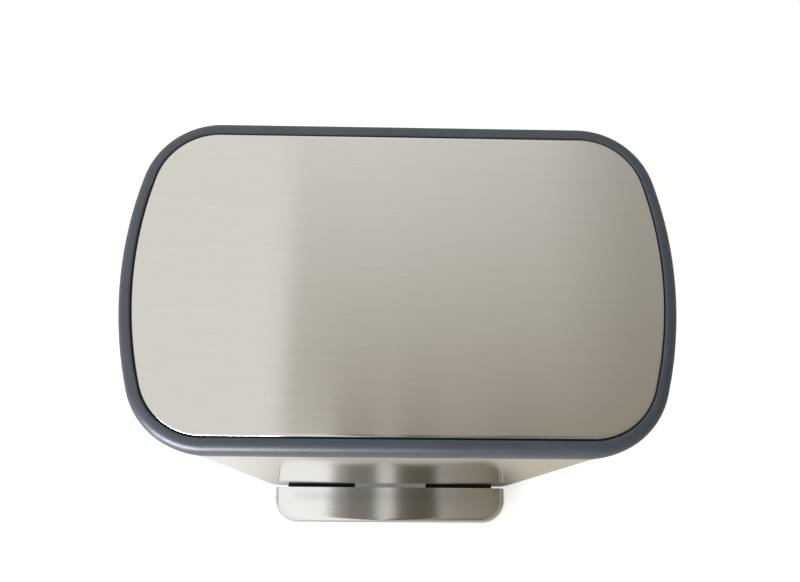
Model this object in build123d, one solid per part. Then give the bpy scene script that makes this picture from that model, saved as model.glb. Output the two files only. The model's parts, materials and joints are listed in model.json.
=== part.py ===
from build123d import *
import math
import os

# A pedal bin: a steel body on a plastic base, a hinged lid with a steel top, a lift-out
# bucket, and a pedal that raises the lid through a lever and a push rod.
# Millimetres. Front is -Y, right is +X, up is +Z. Everything is drawn about the middle of
# the body and moved once, at export, so that the origin is the middle of the footprint.

# ---- plan shape of the lid's steel top: flat front and back, bowed sides, round corners
TOP_HALF_WIDTH = 200.0
TOP_HALF_DEPTH = 117.5
TOP_SIDE_RADIUS = 300.0
TOP_CORNER_RADIUS = 50.0

# ---- heights
TOTAL_HEIGHT = 540.0
LID_HEIGHT = 24.0             # lid rim, from its lower edge to the steel top
LID_GAP = 1.5                 # air between the lid rim and the collar
FOOT_HEIGHT = 2.0
PLINTH_HEIGHT = 10.0          # visible black band under the steel body

# ---- lid
TOP_SHEET = 0.8
TOP_EDGE_DEPTH = 3.4          # turned-down edge of the steel top
TOP_EDGE_RADIUS = 1.3
GROOVE = 1.3                  # dark joint between the steel top and the rim
RIM_WIDTH = 11.2
RIM_CROWN_DROP = 18.0         # height of the rim's rounded crown
RIM_RECESS = 0.7              # rim crown sits this far under the steel top
RIM_WALL = 2.4
DECK_THICKNESS = 2.0
LINER_THICKNESS = 2.0
LINER_CLEARANCE = 2.6
LINER_RISE = 5.0              # liner above the rim's lower edge
LINER_SCREW_INSET_X = 50.0
LINER_SCREW_INSET_FRONT = 47.5
LINER_SCREW_INSET_BACK = 57.5
LINER_RIB_HEIGHT = 4.0
LINER_RIB_HALF = 0.8
LINER_RIB_INSET = 70.0
LINER_RIB_Y = (-40.0, 0.0, 35.0)
LEG_THICKNESS = 4.0
LEG_LENGTH = 24.0             # leg's front end ahead of the hinge axis
LEG_TOP_GAP = 0.5             # leg's upper face under the liner
LEG_NOTCH_GAP = 0.5
LEG_SCREW_SETBACK = 5.5
LEG_SCREW_HALF_PITCH = 5.0
BUMPER_RADIUS = 3.5
BUMPER_X = 110.0
BUMPER_INSET = 1.0
BUMPER_GAP = 0.3              # closed lid's bumpers above the collar

# ---- steel body, collar and base
BODY_INSET = 1.5              # rim overhang past the steel body
SHELL_SHEET = 0.8
FIT = 0.2                     # clearance between pieces that slot together
REST_GAP = 0.1                # between faces that rest on each other
LAP = 0.5                     # how far features of one piece run into each other
COLLAR_THICKNESS = 2.0
COLLAR_WALL = 2.2
COLLAR_SKIRT = 24.5
BASE_WALL = 2.2
BASE_UPSTAND = 36.0
BASE_LEDGE = 16.0
BASE_LEDGE_THICKNESS = 2.5
FLOOR_THICKNESS = 2.5
FOOT_RADIUS = 7.0
FOOT_PLUG_RADIUS = 2.5
FOOT_PLUG_GRIP = 1.0
FOOT_X = 125.0
FLOOR_SCREW_X = 75.0
FLOOR_RIB_HALF = 1.0
FLOOR_RIB_HEIGHT = 5.0
FLOOR_RIB_INSET_X = (50.0, 100.0)
FLOOR_RIB_INSET_Y = 27.5

# ---- bucket
BUCKET_INSET = 4.0            # bucket's flange inside the plan of the steel top
BUCKET_FRONT_INSET = 3.5
BUCKET_CHANNEL_GAP = 9.2      # bucket's flange ahead of the rod channel
BUCKET_FLANGE = 7.0
BUCKET_FLANGE_THICKNESS = 2.5
BUCKET_WALL = 2.0
BUCKET_TAPER = 12.0           # how much narrower each side is at the bottom
BUCKET_FLOOR_GAP = 8.5        # bucket above the raised end of the pedal lever
BUCKET_CLEARANCE = 1.0
SEAT_DEPTH = 6.5
GRIP_HOLE_WIDTH = 70.0
GRIP_HOLE_HEIGHT = 22.0
GRIP_HOLE_DROP = 16.0

# ---- lid hinge, at the back
HINGE_BACK = 7.0              # hinge axis behind the steel body
HINGE_DROP = 21.5             # hinge axis below the collar's top
LID_SWING = 80.0              # degrees
PIN_RADIUS = 2.5
RUNNING_FIT = 0.05
KNUCKLE_RADIUS = 5.0
ARM_X = 70.0
ARM_WIDTH = 20.0
ARM_WEB = 2.6
ARM_SWELL = 1.0               # thicker web above the knuckle
ARM_SWELL_HEIGHT = 14.0
ARM_EDGE_RADIUS = 0.8
ARM_BEND_RADIUS = 2.0
ARM_STANDOFF = 0.8
ARM_SIDE_GAP = 1.0
NOSE_ARM_LENGTH = 19.8
NOSE_RADIUS = 3.0
NOSE_ARM_THICKNESS = 4.0
NOSE_WIDTH = 8.0

# ---- hinge housing with the carrying grip
HOUSING_HALF_WIDTH = 100.0
HOUSING_DEPTH = 19.5
HOUSING_TOP_GAP = 5.5         # housing top below the collar's top
HOUSING_HEIGHT = 54.0
HOUSING_SHOULDER = 4.5
HOUSING_SLOPE = 32.0          # height of the sloping rear face
HOUSING_WALL = 2.5
GRIP_HALF_WIDTH = 60.0
GRIP_ROOF = 7.0               # wall between the grip and the arm notches
GRIP_ROOF_MIN = 1.5           # what is left of it under the lift lever
NOTCH_DEPTH = 7.0             # arm notches below the hinge axis
HOUSING_EDGE_RADIUS = 2.0
HOUSING_SCREW_INSET = 8.0     # outer screws from the housing's end
HOUSING_SCREW_GRIP_GAP = 15.0  # inner screws beside the grip
HOUSING_SCREW_GRIP = 11.0
NOSE_SLOT_GAP = 4.0
NOTCH_SIDE_GAP = 6.0          # notch in the steel body beside the lift lever's nose
NOTCH_BELOW_HINGE = 16.0
PIN_END_INSET = 6.0
CAP_PLUG = 5.5
CAP_FLANGE = 1.2
HOUSING_SCREW_RISE = 12.0

# ---- push rod in its channel behind the bucket
ROD_RADIUS = 3.0
ROD_Y_FROM_HINGE = 17.5
ROD_HEAD_HEIGHT = 12.0
ROD_HEAD_HALF = 6.5
ROD_HEAD_HALF_WIDTH = 8.0
ROD_SOCKET_END = 4.0          # material past each end of the rod
ROD_HEAD_CHAMFER = 4.0        # clears the lift lever when the lid is open
NOSE_GAP = 0.8                # the rod only pushes, so this joint is open
FOOT_GAP = 0.4
ROD_FOOT_RADIUS = 5.0
ROD_FOOT_HEIGHT = 10.0
CHANNEL_HALF_WIDTH = 48.0
CHANNEL_SHEET = 1.2
CHANNEL_DEPTH = 26.5
CHANNEL_FLANGE = 12.0
CHANNEL_TOP_GAP = 5.0         # channel under the collar's skirt
GUIDE_HALF_WIDTH = 10.0
GUIDE_HEIGHT = 12.0
GUIDE_INSET = 10.0            # lower guide above the channel's lower end
GUIDE_CLEARANCE = 4.0         # lower guide above the raised rod foot
GUIDE_HIGH_DROP = 92.0        # upper guide below the channel's top

# ---- soft-close damper beside the rod
DAMPER_X = 28.0
DAMPER_RADIUS = 7.0
DAMPER_BORE = 5.6
DAMPER_LENGTH = 82.0
DAMPER_DROP = 24.0            # damper top below the yoke
DAMPER_END = 3.0
PLUNGER_RADIUS = 2.0
PISTON_HEIGHT = 6.0
YOKE_THICKNESS = 3.0
CLAMP_HEIGHT = 8.0
CLAMP_WALL = 2.5
CLAMP_INSET = 6.0
PISTON_RISE = 4.0
YOKE_HALF = 6.0
YOKE_END = 7.0
YOKE_CORNER = 4.0

# ---- pedal
PEDAL_HALF_WIDTH = 146.5
PEDAL_GAP = 3.6               # between the pedal and the steel body
PEDAL_DEPTH = 42.8
PEDAL_TOP = 38.0
PEDAL_SKIRT = 8.5
PEDAL_SHEET = 1.0
PEDAL_CORNER = 29.0
PEDAL_REAR_CORNER = 2.5
PEDAL_BEND = 6.5              # rounded bend between the tread and its skirt
PEDAL_REAR_RUN = 12.0         # how far the pressing runs on before its rear is trimmed
CORE_BELOW = 3.0
SLOT_INSET = 16.5             # slot's end inside the pedal's end
SLOT_CLEARANCE = 4.0          # slot above the pedal's top
SLOT_SILL = 9.0
SLOT_REACH = 30.0

# ---- pedal lever and its axle
LEVER_HALF_WIDTH = 45.0
LEVER_SHEET = 2.0
LEVER_FRONT_DEPTH = 8.0
LEVER_REAR_DEPTH = 10.0
LEVER_ABOVE_AXLE = 7.0
LEVER_BELOW_AXLE = 6.5
LEVER_EAR_HALF = 12.0
LEVER_EAR_RUN = 35.0
LEVER_FRONT_RISE = 1.0        # lower edge at the front bend, below the axle
LEVER_OPEN_DROP = 15.0        # how far the hollow runs on below
LEVER_BEND_SETBACK = 28.5     # front bend behind the steel body's front
LEVER_BEND_BEFORE_AXLE = 25.0
LEVER_SETBACK = 1.0           # lever's front end behind the pedal's rounded bend
LEVER_REAR_GAP = 1.3
AXLE_SETBACK = 93.5           # axle behind the steel body's front
AXLE_RISE = 13.9              # axle above the floor plate
AXLE_RADIUS = 4.0
BUSH_RADIUS = 6.0
BUSH_FLANGE_RADIUS = 8.0
BUSH_FLANGE = 1.2
BRACKET_SHEET = 3.0
BRACKET_FOOT = 16.0
BRACKET_FOOT_SHEET = 2.5
BRACKET_SCREW_HALF_PITCH = 8.0
BUSH_GAP = 0.3
BRACKET_HALF_LENGTH = 13.0
CLIP_THICKNESS = 0.8
CLIP_RADIUS = 7.0
CLIP_GAP = 0.7
CLIP_MOUTH = 1.5
AXLE_END = 5.0
LIFT_PAD_THICKNESS = 2.0
LIFT_PAD_LENGTH = 18.0
LIFT_PAD_HALF_WIDTH = 10.0
LIFT_PAD_END = 0.5
PEDAL_SCREW_X = 25.0
PEDAL_SCREW_HALF_PITCH = 9.0
STOP_HEIGHT = 2.4
STOP_RADIUS = 5.0
STOP_SETBACK = 8.0

# ---- screws
SCREW_RADIUS = 1.5
SCREW_HEAD_RADIUS = 3.2
SCREW_HEAD = 1.8
BOSS_RADIUS = 4.5
SCREW_DRIVE_RADIUS = 1.2
SCREW_DRIVE_DEPTH = 0.8
LINER_SCREW_GRIP = 9.0
LEG_SCREW_GRIP = 11.0

# ---- worked out from the sizes above
RIM_OUT = GROOVE + RIM_WIDTH
BODY_OUT = RIM_OUT - BODY_INSET
BODY_IN = BODY_OUT - SHELL_SHEET
LID_BOTTOM = TOTAL_HEIGHT - LID_HEIGHT
COLLAR_TOP = LID_BOTTOM - LID_GAP
SHELL_TOP = COLLAR_TOP - COLLAR_THICKNESS
SHELL_BOTTOM = FOOT_HEIGHT + PLINTH_HEIGHT
SHELL_BACK = TOP_HALF_DEPTH + BODY_OUT
SHELL_BACK_INNER = TOP_HALF_DEPTH + BODY_IN
SHELL_FRONT = -SHELL_BACK
LINER_BOTTOM = LID_BOTTOM + LINER_RISE
LINER_TOP = LINER_BOTTOM + LINER_THICKNESS
LEG_TOP = LINER_BOTTOM - LEG_TOP_GAP
LEG_BOTTOM = LEG_TOP - LEG_THICKNESS
DECK_TOP = TOTAL_HEIGHT - TOP_SHEET - RUNNING_FIT
DECK_UNDER = DECK_TOP - DECK_THICKNESS
TROUGH_FLOOR = TOTAL_HEIGHT - TOP_EDGE_DEPTH - FIT
FLANGE_BOTTOM = COLLAR_TOP - SEAT_DEPTH + REST_GAP
LEDGE_TOP = FOOT_HEIGHT + BASE_LEDGE_THICKNESS
FLOOR_BOTTOM = LEDGE_TOP + REST_GAP
FLOOR_TOP = FLOOR_BOTTOM + FLOOR_THICKNESS
HINGE_Y = SHELL_BACK + HINGE_BACK
HINGE_Z = COLLAR_TOP - HINGE_DROP
HOUSING_TOP = COLLAR_TOP - HOUSING_TOP_GAP
HOUSING_BOTTOM = HOUSING_TOP - HOUSING_HEIGHT
NOTCH_BOTTOM = HINGE_Z - NOTCH_DEPTH
GRIP_TOP = NOTCH_BOTTOM - GRIP_ROOF
HOUSING_OUTER_SCREW = HOUSING_HALF_WIDTH - HOUSING_SCREW_INSET
HOUSING_INNER_SCREW = GRIP_HALF_WIDTH + HOUSING_SCREW_GRIP_GAP
HOUSING_SCREW_X = (-HOUSING_OUTER_SCREW, -HOUSING_INNER_SCREW, HOUSING_INNER_SCREW, HOUSING_OUTER_SCREW)
HOUSING_SCREW_Z = HOUSING_BOTTOM + HOUSING_SCREW_RISE
HALF_SWING = math.radians(LID_SWING / 2)
NOSE_Y = HINGE_Y - NOSE_ARM_LENGTH * math.cos(HALF_SWING)
NOSE_Z = HINGE_Z - NOSE_ARM_LENGTH * math.sin(HALF_SWING)
ROD_TRAVEL = 2 * NOSE_ARM_LENGTH * math.sin(HALF_SWING)
ROD_Y = HINGE_Y - ROD_Y_FROM_HINGE
ROD_HEAD_TOP = NOSE_Z - NOSE_RADIUS - NOSE_GAP
CHANNEL_FRONT = SHELL_BACK_INNER - CHANNEL_DEPTH
CHANNEL_TOP = SHELL_TOP - COLLAR_SKIRT - CHANNEL_TOP_GAP
GUIDE_HIGH_Z = CHANNEL_TOP - GUIDE_HIGH_DROP
YOKE_TOP = ROD_HEAD_TOP - ROD_HEAD_HEIGHT
YOKE_BOTTOM = YOKE_TOP - YOKE_THICKNESS
DAMPER_TOP = YOKE_BOTTOM - DAMPER_DROP
DAMPER_BOTTOM = DAMPER_TOP - DAMPER_LENGTH
AXLE_Y = SHELL_FRONT + AXLE_SETBACK
AXLE_Z = FLOOR_TOP + AXLE_RISE
LEVER_REAR_TOP = AXLE_Z + LEVER_ABOVE_AXLE
LEVER_BEND_FRONT = SHELL_FRONT + LEVER_BEND_SETBACK
LEVER_BEND_REAR = AXLE_Y - LEVER_BEND_BEFORE_AXLE
LEVER_REAR = SHELL_BACK_INNER - BASE_WALL - FIT - LEVER_REAR_GAP
PAD_TOP = LEVER_REAR_TOP + LIFT_PAD_THICKNESS
ROD_FOOT_BOTTOM = PAD_TOP + FOOT_GAP
GUIDE_LOW_Z = ROD_FOOT_BOTTOM + ROD_FOOT_HEIGHT + ROD_TRAVEL + GUIDE_CLEARANCE
CHANNEL_BOTTOM = GUIDE_LOW_Z - GUIDE_INSET
BUCKET_BOTTOM = PAD_TOP + ROD_TRAVEL + BUCKET_FLOOR_GAP
BUCKET_BACK = CHANNEL_FRONT - BUCKET_CHANNEL_GAP
BUCKET_FRONT = BUCKET_FRONT_INSET - TOP_HALF_DEPTH
BUCKET_HALF_WIDTH = TOP_HALF_WIDTH - BUCKET_INSET
BUCKET_HALF_DEPTH = (BUCKET_BACK - BUCKET_FRONT) / 2
BUCKET_Y = (BUCKET_BACK + BUCKET_FRONT) / 2
BUCKET_SIDE_RADIUS = TOP_SIDE_RADIUS - BUCKET_INSET
BUCKET_CORNER_RADIUS = TOP_CORNER_RADIUS - BUCKET_INSET
LEVER_REACH = ROD_Y - AXLE_Y
PEDAL_SWING = math.degrees(math.atan(ROD_TRAVEL / LEVER_REACH))
PEDAL_REAR = SHELL_FRONT - PEDAL_GAP
PEDAL_FRONT = PEDAL_REAR - PEDAL_DEPTH
LEVER_FRONT = PEDAL_FRONT + PEDAL_BEND + LEVER_SETBACK
PLATE_UNDER = PEDAL_TOP - PEDAL_SHEET
CORE_BOTTOM = PEDAL_TOP - PEDAL_SKIRT - CORE_BELOW
HOUSING_BACK = SHELL_BACK + HOUSING_DEPTH
FOOTPRINT_MIDDLE = (PEDAL_FRONT + HOUSING_BACK) / 2
SLOT_HALF_WIDTH = PEDAL_HALF_WIDTH - SLOT_INSET
SLOT_TOP = PEDAL_TOP + SLOT_CLEARANCE
LINER_SCREW_X = TOP_HALF_WIDTH - LINER_SCREW_INSET_X
LINER_SCREW_Y = (LINER_SCREW_INSET_FRONT - TOP_HALF_DEPTH, TOP_HALF_DEPTH - LINER_SCREW_INSET_BACK)
LINER_SCREWS = [(x, y) for x in (-LINER_SCREW_X, 0.0, LINER_SCREW_X) for y in LINER_SCREW_Y]
LEG_FRONT = HINGE_Y - LEG_LENGTH
LEG_SCREW_Y = LEG_FRONT + LEG_SCREW_SETBACK
ARM_PLACES = (-ARM_X, 0.0, ARM_X)
LEG_SCREWS = [(x + side * LEG_SCREW_HALF_PITCH, LEG_SCREW_Y) for x in ARM_PLACES for side in (-1, 1)]
BRACKET_IN = LEVER_HALF_WIDTH + BUSH_GAP + BUSH_FLANGE
BRACKET_OUT = BRACKET_IN + BRACKET_SHEET


# ---- helpers
def plan(offset=0.0, bucket=False):
    """Closed outline: flat front and back, bowed sides, round corners, grown by offset."""
    half_width = (BUCKET_HALF_WIDTH if bucket else TOP_HALF_WIDTH) + offset
    half_depth = (BUCKET_HALF_DEPTH if bucket else TOP_HALF_DEPTH) + offset
    side = (BUCKET_SIDE_RADIUS if bucket else TOP_SIDE_RADIUS) + offset
    corner = (BUCKET_CORNER_RADIUS if bucket else TOP_CORNER_RADIUS) + offset
    middle_y = BUCKET_Y if bucket else 0.0
    side_x = half_width - side
    corner_y = half_depth - corner
    corner_x = side_x + math.sqrt((side - corner) ** 2 - corner_y ** 2)
    turn = math.atan2(corner_y, corner_x - side_x)
    half_turn = (turn + math.pi / 2) / 2
    join = (side_x + side * math.cos(turn), side * math.sin(turn))
    bulge = (corner_x + corner * math.cos(half_turn), corner_y + corner * math.sin(half_turn))

    def at(point, sx=1, sy=1):
        return (sx * point[0], middle_y + sy * point[1])

    flat = (corner_x, half_depth)
    side_mid = (half_width, 0.0)
    return Wire([
        Line(at((0.0, half_depth), 1, -1), at(flat, 1, -1)),
        ThreePointArc(at(flat, 1, -1), at(bulge, 1, -1), at(join, 1, -1)),
        ThreePointArc(at(join, 1, -1), at(side_mid), at(join)),
        ThreePointArc(at(join), at(bulge), at(flat)),
        Line(at(flat), at(flat, -1, 1)),
        ThreePointArc(at(flat, -1, 1), at(bulge, -1, 1), at(join, -1, 1)),
        ThreePointArc(at(join, -1, 1), at(side_mid, -1, 1), at(join, -1, -1)),
        ThreePointArc(at(join, -1, -1), at(bulge, -1, -1), at(flat, -1, -1)),
        Line(at(flat, -1, -1), at((0.0, half_depth), 1, -1)),
    ])


def slab(low, high, offset=0.0, bucket=False):
    """The plan outline as a solid from height low to height high."""
    face = Pos(0, 0, low) * Face(plan(offset, bucket))
    return extrude(face, amount=high - low, dir=(0, 0, 1))


def wall(low, high, outer, inner, bucket=False):
    """An upright ring between two offsets of the plan outline."""
    return slab(low, high, outer, bucket) - slab(low - 1, high + 1, inner, bucket)


def block(x, y, z):
    """A box from its low and high limits along each axis."""
    size = (x[1] - x[0], y[1] - y[0], z[1] - z[0])
    return Pos((x[0] + x[1]) / 2, (y[0] + y[1]) / 2, (z[0] + z[1]) / 2) * Box(*size)


def rod_z(x, y, low, high, radius):
    return Pos(x, y, (low + high) / 2) * Cylinder(radius, high - low)


def rod_x(y, z, low, high, radius):
    return Pos((low + high) / 2, y, z) * Rot(0, 90, 0) * Cylinder(radius, high - low)


def rod_y(x, z, low, high, radius):
    return Pos(x, (low + high) / 2, z) * Rot(90, 0, 0) * Cylinder(radius, high - low)


def side_profile(points, low_x, high_x):
    """A closed (y, z) polygon pushed through from low_x to high_x."""
    outline = Polyline(*[(low_x, y, z) for y, z in points], close=True)
    return extrude(Face(Wire(outline.edges())), amount=high_x - low_x, dir=(1, 0, 0))


def screw_up(x, y, head_bottom, length):
    """A pan-head screw driven upwards, with its head underneath."""
    head_top = head_bottom + SCREW_HEAD
    head = rod_z(x, y, head_bottom, head_top, SCREW_HEAD_RADIUS)
    drive = rod_z(x, y, head_bottom - 1, head_bottom + SCREW_DRIVE_DEPTH, SCREW_DRIVE_RADIUS)
    return head - drive + rod_z(x, y, head_top, head_top + length, SCREW_RADIUS)


def screw_down(x, y, head_bottom, tip):
    """A pan-head screw driven downwards, with its head on top."""
    head_top = head_bottom + SCREW_HEAD
    head = rod_z(x, y, head_bottom, head_top, SCREW_HEAD_RADIUS)
    drive = rod_z(x, y, head_top - SCREW_DRIVE_DEPTH, head_top + 1, SCREW_DRIVE_RADIUS)
    return head - drive + rod_z(x, y, tip, head_bottom, SCREW_RADIUS)


def write(name, shape):
    moved = Pos(0, -FOOTPRINT_MIDDLE, 0) * shape
    moved.label = name
    export_step(moved, f"parts/{name}.step")


def group(solids):
    return Compound(children=list(solids))


# ---- lid
def lid_panel():
    skin = slab(TOTAL_HEIGHT - TOP_EDGE_DEPTH, TOTAL_HEIGHT)
    skin = fillet(skin.edges().group_by(Axis.Z)[-1], TOP_EDGE_RADIUS)
    inner = slab(TOTAL_HEIGHT - TOP_EDGE_DEPTH - 1, TOTAL_HEIGHT - TOP_SHEET, -TOP_SHEET)
    inner = fillet(inner.edges().group_by(Axis.Z)[-1], TOP_EDGE_RADIUS - TOP_SHEET / 2)
    return skin - inner


def rim_ring():
    """The rounded frame, as a section carried round the plan outline."""
    crown_z = TOTAL_HEIGHT - RIM_RECESS - RIM_CROWN_DROP
    inner_rise = TROUGH_FLOOR - DECK_THICKNESS - crown_z
    plane = Plane(origin=(0, -TOP_HALF_DEPTH, 0), x_dir=(0, -1, 0), z_dir=(-1, 0, 0))
    outer_arc = EllipticalCenterArc((GROOVE, crown_z), RIM_WIDTH, RIM_CROWN_DROP, 0, arc_size=90)
    inner_width = RIM_WIDTH - RIM_WALL
    inner_arc = EllipticalCenterArc((GROOVE, crown_z), inner_width, inner_rise, 0, arc_size=90)
    skirt_in = RIM_OUT - RIM_WALL
    lower = Polyline((RIM_OUT, crown_z), (RIM_OUT, LID_BOTTOM), (skirt_in, LID_BOTTOM), (skirt_in, crown_z))
    closing = Line((GROOVE, crown_z + inner_rise), (GROOVE, crown_z + RIM_CROWN_DROP))
    section = plane * Face(Wire([*outer_arc.edges(), *lower.edges(), *inner_arc.edges(), *closing.edges()]))
    return sweep(section, path=plan())


def lid_rim():
    trough_in = -TOP_SHEET - 2 * FIT
    trough_low = TROUGH_FLOOR - DECK_THICKNESS
    ring = rim_ring()
    ring += wall(trough_low, TROUGH_FLOOR, GROOVE + 3 * LAP, trough_in - DECK_THICKNESS)
    ring += wall(trough_low, DECK_TOP - 2 * LAP, trough_in, trough_in - DECK_THICKNESS)
    ring += slab(DECK_UNDER, DECK_TOP, trough_in - 2 * LAP)
    for x, y in LINER_SCREWS:
        ring += rod_z(x, y, LINER_TOP, DECK_UNDER + LAP, BOSS_RADIUS)
        ring -= rod_z(x, y, LINER_BOTTOM, LINER_BOTTOM + LINER_SCREW_GRIP, SCREW_RADIUS)
    half = ARM_WIDTH / 2 + LEG_NOTCH_GAP
    for x in ARM_PLACES:
        notch_y = (SHELL_BACK - 1, SHELL_BACK + RIM_WIDTH)
        ring -= block((x - half, x + half), notch_y, (LID_BOTTOM - 1, LEG_TOP + FIT))
    for x, y in LEG_SCREWS:
        ring += rod_z(x, y, LEG_TOP, TROUGH_FLOOR - LAP, BOSS_RADIUS)
        ring -= rod_z(x, y, LEG_BOTTOM, LEG_BOTTOM + LEG_SCREW_GRIP, SCREW_RADIUS)
    return ring


def lid_liner():
    liner = slab(LINER_BOTTOM, LINER_TOP, RIM_OUT - RIM_WALL - LINER_CLEARANCE)
    for x, y in LINER_SCREWS:
        liner -= rod_z(x, y, LINER_BOTTOM - 1, LINER_TOP + 1, SCREW_RADIUS)
    half = ARM_WIDTH / 2 + ARM_SIDE_GAP
    low = LEG_SCREW_Y - BOSS_RADIUS - ARM_SIDE_GAP
    for x in ARM_PLACES:
        liner -= block((x - half, x + half), (low, SHELL_BACK), (LINER_BOTTOM - 1, LINER_TOP + 1))
    reach = TOP_HALF_WIDTH - LINER_RIB_INSET
    for y in LINER_RIB_Y:
        span = (y - LINER_RIB_HALF, y + LINER_RIB_HALF)
        liner += block((-reach, reach), span, (LINER_TOP - LAP, LINER_TOP + LINER_RIB_HEIGHT))
    return liner


def arm_body(x, half_width):
    """Knuckle, upright web behind the body, and leg that screws under the rim."""
    web_front = SHELL_BACK + ARM_STANDOFF
    web_back = web_front + ARM_WEB
    span = (x - half_width, x + half_width)
    arm = rod_x(HINGE_Y, HINGE_Z, span[0], span[1], KNUCKLE_RADIUS)
    arm += block(span, (web_front, web_back + ARM_SWELL), (HINGE_Z, HINGE_Z + ARM_SWELL_HEIGHT))
    arm += block(span, (web_front, web_back), (HINGE_Z, LEG_TOP))
    arm += block(span, (LEG_FRONT, web_back), (LEG_BOTTOM, LEG_TOP))
    rear = [edge for edge in arm.edges() if edge.center().Y > web_back - LAP]
    arm = fillet([edge for edge in rear if edge.center().Z > LEG_TOP - LAP], ARM_BEND_RADIUS)
    uprights = [edge for edge in arm.edges().filter_by(Axis.Z) if edge.center().Y > web_back - LAP]
    arm = fillet(uprights, ARM_EDGE_RADIUS)
    for screw_x, screw_y in LEG_SCREWS:
        arm -= rod_z(screw_x, screw_y, LEG_BOTTOM - 1, LEG_TOP + 1, SCREW_RADIUS)
    return arm - rod_x(HINGE_Y, HINGE_Z, span[0] - 1, span[1] + 1, PIN_RADIUS + RUNNING_FIT)


def lift_lever():
    lever = arm_body(0.0, ARM_WIDTH / 2)
    half = NOSE_WIDTH / 2
    mid_y = (HINGE_Y + NOSE_Y) / 2
    mid_z = (HINGE_Z + NOSE_Z) / 2
    bar = Box(NOSE_WIDTH, NOSE_ARM_LENGTH, NOSE_ARM_THICKNESS)
    lever += Pos(0, mid_y, mid_z) * Rot(LID_SWING / 2, 0, 0) * bar
    lever += rod_x(NOSE_Y, NOSE_Z, -half, half, NOSE_RADIUS)
    return lever - rod_x(HINGE_Y, HINGE_Z, -ARM_WIDTH, ARM_WIDTH, PIN_RADIUS + RUNNING_FIT)


def lid_screws():
    screws = [screw_up(x, y, LINER_BOTTOM - SCREW_HEAD, LINER_SCREW_GRIP) for x, y in LINER_SCREWS]
    screws += [screw_up(x, y, LEG_BOTTOM - SCREW_HEAD, LEG_SCREW_GRIP) for x, y in LEG_SCREWS]
    return group(screws)


def lid_bumpers():
    liner_edge = TOP_HALF_DEPTH + RIM_OUT - RIM_WALL - LINER_CLEARANCE
    y = BUMPER_RADIUS + BUMPER_INSET - liner_edge
    low = COLLAR_TOP + BUMPER_GAP
    return group(rod_z(x, y, low, LINER_BOTTOM, BUMPER_RADIUS) for x in (-BUMPER_X, BUMPER_X))


# ---- steel body, collar, base
def slot_cut(low, high):
    depth = (SHELL_FRONT - 5, SHELL_FRONT + SLOT_REACH)
    return block((-SLOT_HALF_WIDTH, SLOT_HALF_WIDTH), depth, (low, high))


def rear_notch(low, high):
    half_width = NOSE_WIDTH / 2 + NOTCH_SIDE_GAP
    return block((-half_width, half_width), (SHELL_BACK - 12, SHELL_BACK + 5), (low, high))


def outer_shell():
    shell = wall(SHELL_BOTTOM, SHELL_TOP, BODY_OUT, BODY_IN)
    shell -= slot_cut(SHELL_BOTTOM - 5, SLOT_TOP)
    shell -= rear_notch(HINGE_Z - NOTCH_BELOW_HINGE, SHELL_TOP + 5)
    for x in HOUSING_SCREW_X:
        shell -= rod_y(x, HOUSING_SCREW_Z, SHELL_BACK - 5, SHELL_BACK + 5, SCREW_RADIUS)
    return shell


def top_collar():
    opening = slab(0, TOTAL_HEIGHT, BUCKET_CLEARANCE, bucket=True)
    seat_low = COLLAR_TOP - SEAT_DEPTH
    collar = slab(SHELL_TOP, COLLAR_TOP, BODY_OUT) - opening
    skirt_out = BODY_IN - FIT
    collar += wall(SHELL_TOP - COLLAR_SKIRT, SHELL_TOP + LAP, skirt_out, skirt_out - COLLAR_WALL)
    seat_out = BUCKET_CLEARANCE + COLLAR_WALL
    collar += wall(seat_low, COLLAR_TOP - LAP, seat_out, BUCKET_CLEARANCE, bucket=True)
    seat_in = -BUCKET_FLANGE + BUCKET_CLEARANCE
    collar += wall(seat_low - COLLAR_THICKNESS, seat_low, seat_out, seat_in, bucket=True)
    return collar - rear_notch(SHELL_TOP - COLLAR_SKIRT - 5, SHELL_TOP)


def foot_places():
    corners = [(sx * FOOT_X, sy * TOP_HALF_DEPTH) for sx in (-1, 1) for sy in (-1, 1)]
    return corners + [(-TOP_HALF_WIDTH, 0), (TOP_HALF_WIDTH, 0)]


def floor_screw_places():
    return [(sx * FLOOR_SCREW_X, sy * TOP_HALF_DEPTH) for sx in (-1, 1) for sy in (-1, 1)]


def base_ring():
    low = FOOT_HEIGHT
    inner = BODY_IN - FIT - BASE_WALL
    ring = wall(low, SHELL_BOTTOM, BODY_OUT, inner)
    ring += wall(SHELL_BOTTOM - LAP, SHELL_BOTTOM + BASE_UPSTAND, BODY_IN - FIT, inner)
    ring += wall(low, LEDGE_TOP, inner + LAP, inner - BASE_LEDGE)
    ring -= slot_cut(SLOT_SILL, SLOT_TOP)
    for x, y in foot_places():
        ring -= rod_z(x, y, low - 1, LEDGE_TOP + 1, FOOT_PLUG_RADIUS + RUNNING_FIT)
    for x, y in floor_screw_places():
        ring -= rod_z(x, y, low - 1, LEDGE_TOP + 1, SCREW_RADIUS)
    return ring


def base_floor():
    floor = slab(FLOOR_BOTTOM, FLOOR_TOP, BODY_IN - FIT - BASE_WALL - FIT)
    reach = TOP_HALF_DEPTH - FLOOR_RIB_INSET_Y
    for inset in FLOOR_RIB_INSET_X:
        x = TOP_HALF_WIDTH - inset
        span = (x - FLOOR_RIB_HALF, x + FLOOR_RIB_HALF)
        rib = block(span, (-reach, reach), (FLOOR_TOP - LAP, FLOOR_TOP + FLOOR_RIB_HEIGHT))
        floor += rib
        floor += mirror(rib, about=Plane.YZ)
    for x, y in foot_places():
        floor -= rod_z(x, y, FLOOR_BOTTOM - 1, FLOOR_TOP + 1, FOOT_PLUG_RADIUS + RUNNING_FIT)
    for x, y in floor_screw_places() + bracket_screw_places():
        floor -= rod_z(x, y, FLOOR_BOTTOM - 1, FLOOR_TOP + 1, SCREW_RADIUS)
    return floor


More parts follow.
